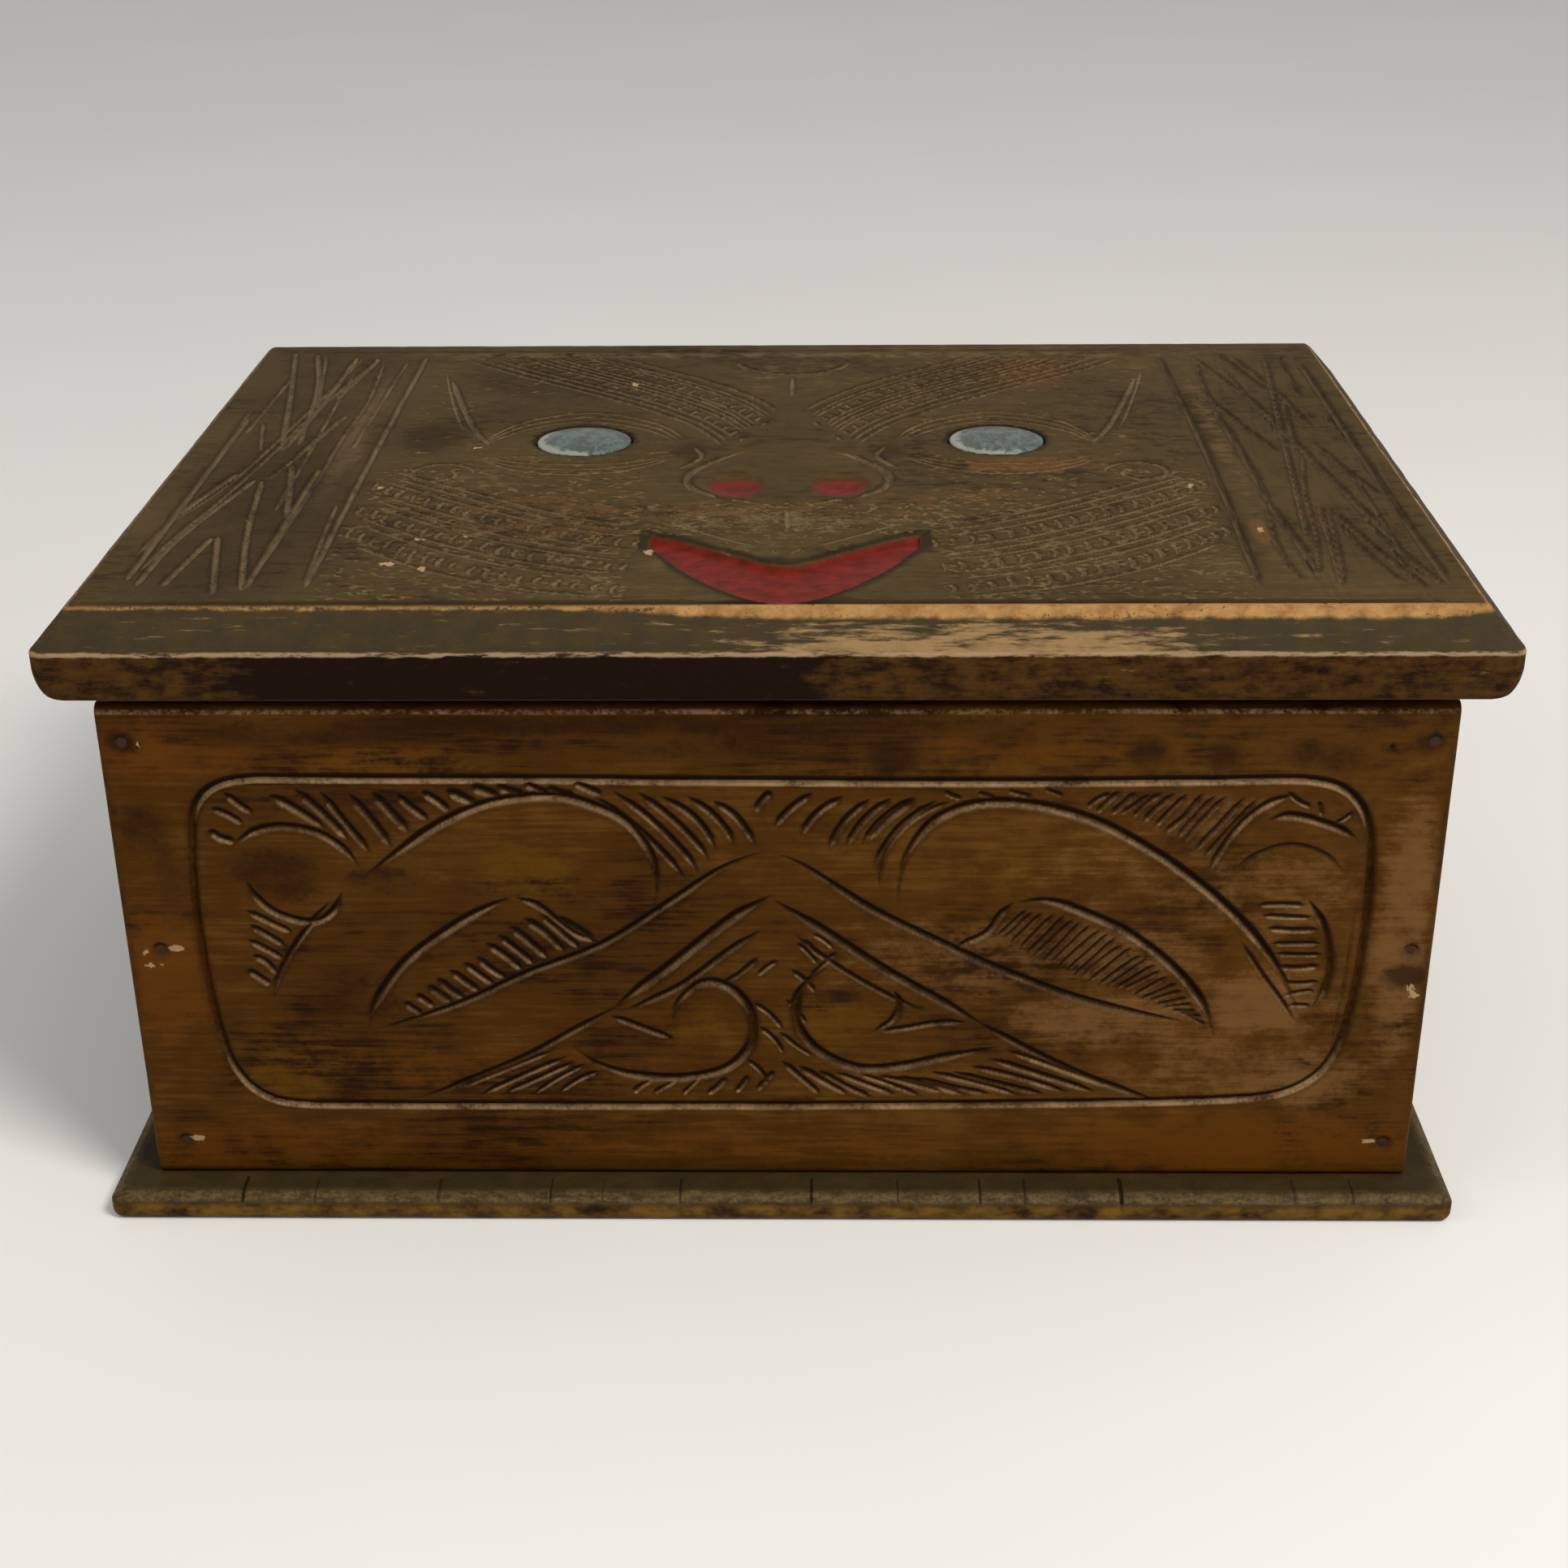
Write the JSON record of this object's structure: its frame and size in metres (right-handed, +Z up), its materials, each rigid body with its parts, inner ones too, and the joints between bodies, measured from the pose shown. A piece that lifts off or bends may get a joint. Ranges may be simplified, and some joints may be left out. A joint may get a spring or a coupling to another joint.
{
  "type": "carved wooden box",
  "caption": "Carved wooden box with a hinged, bevelled lid bearing a mask with shell eyes, a scroll-carved front board, nailed walls and a chamfered base.",
  "frame": {"origin": "on the ground, under the middle of the whole box with its hinges", "axes": "+X to the right along the box's length, +Y from the carved front to the hinges, +Z up"},
  "size_m": [0.3314, 0.2414, 0.1568],
  "materials": {
    "base_wood": "satin",
    "front_wood": "satin",
    "wall_wood": "satin",
    "lid_wood": "matte",
    "shell": "gloss",
    "brass": "satin",
    "iron": "matte"
  },
  "bodies": {
    "box": {"base_plate": "base_wood", "front_board": "front_wood", "back_board": "wall_wood", "left_side_board": "wall_wood", "right_side_board": "wall_wood", "front_nail_1": "iron", "front_nail_2": "iron", "front_nail_3": "iron", "front_nail_4": "iron", "front_nail_5": "iron", "front_nail_6": "iron", "back_nail_1": "iron", "back_nail_2": "iron", "back_nail_3": "iron", "back_nail_4": "iron", "back_nail_5": "iron", "back_nail_6": "iron", "base_nail_1": "iron", "base_nail_2": "iron", "base_nail_3": "iron", "base_nail_4": "iron", "base_nail_5": "iron", "base_nail_6": "iron", "base_nail_7": "iron", "base_nail_8": "iron", "hinge_left_box_leaf": "brass", "hinge_left_pin": "brass", "hinge_left_box_screw_1": "brass", "hinge_left_box_screw_2": "brass", "hinge_right_box_leaf": "brass", "hinge_right_pin": "brass", "hinge_right_box_screw_1": "brass", "hinge_right_box_screw_2": "brass"},
    "lid": {"lid_board": "lid_wood", "eye_inlay_left": "shell", "eye_inlay_right": "shell", "hinge_left_lid_leaf": "brass", "hinge_left_lid_screw_1": "brass", "hinge_left_lid_screw_2": "brass", "hinge_right_lid_leaf": "brass", "hinge_right_lid_screw_1": "brass", "hinge_right_lid_screw_2": "brass"}
  },
  "joints": [
    {"name": "lid_hinge", "type": "hinge", "parent": "box", "child": "lid", "pos_m": [0, 0.11815, 0.13515], "axis": [-1, 0, 0], "range_deg": [0, 180]}
  ]
}
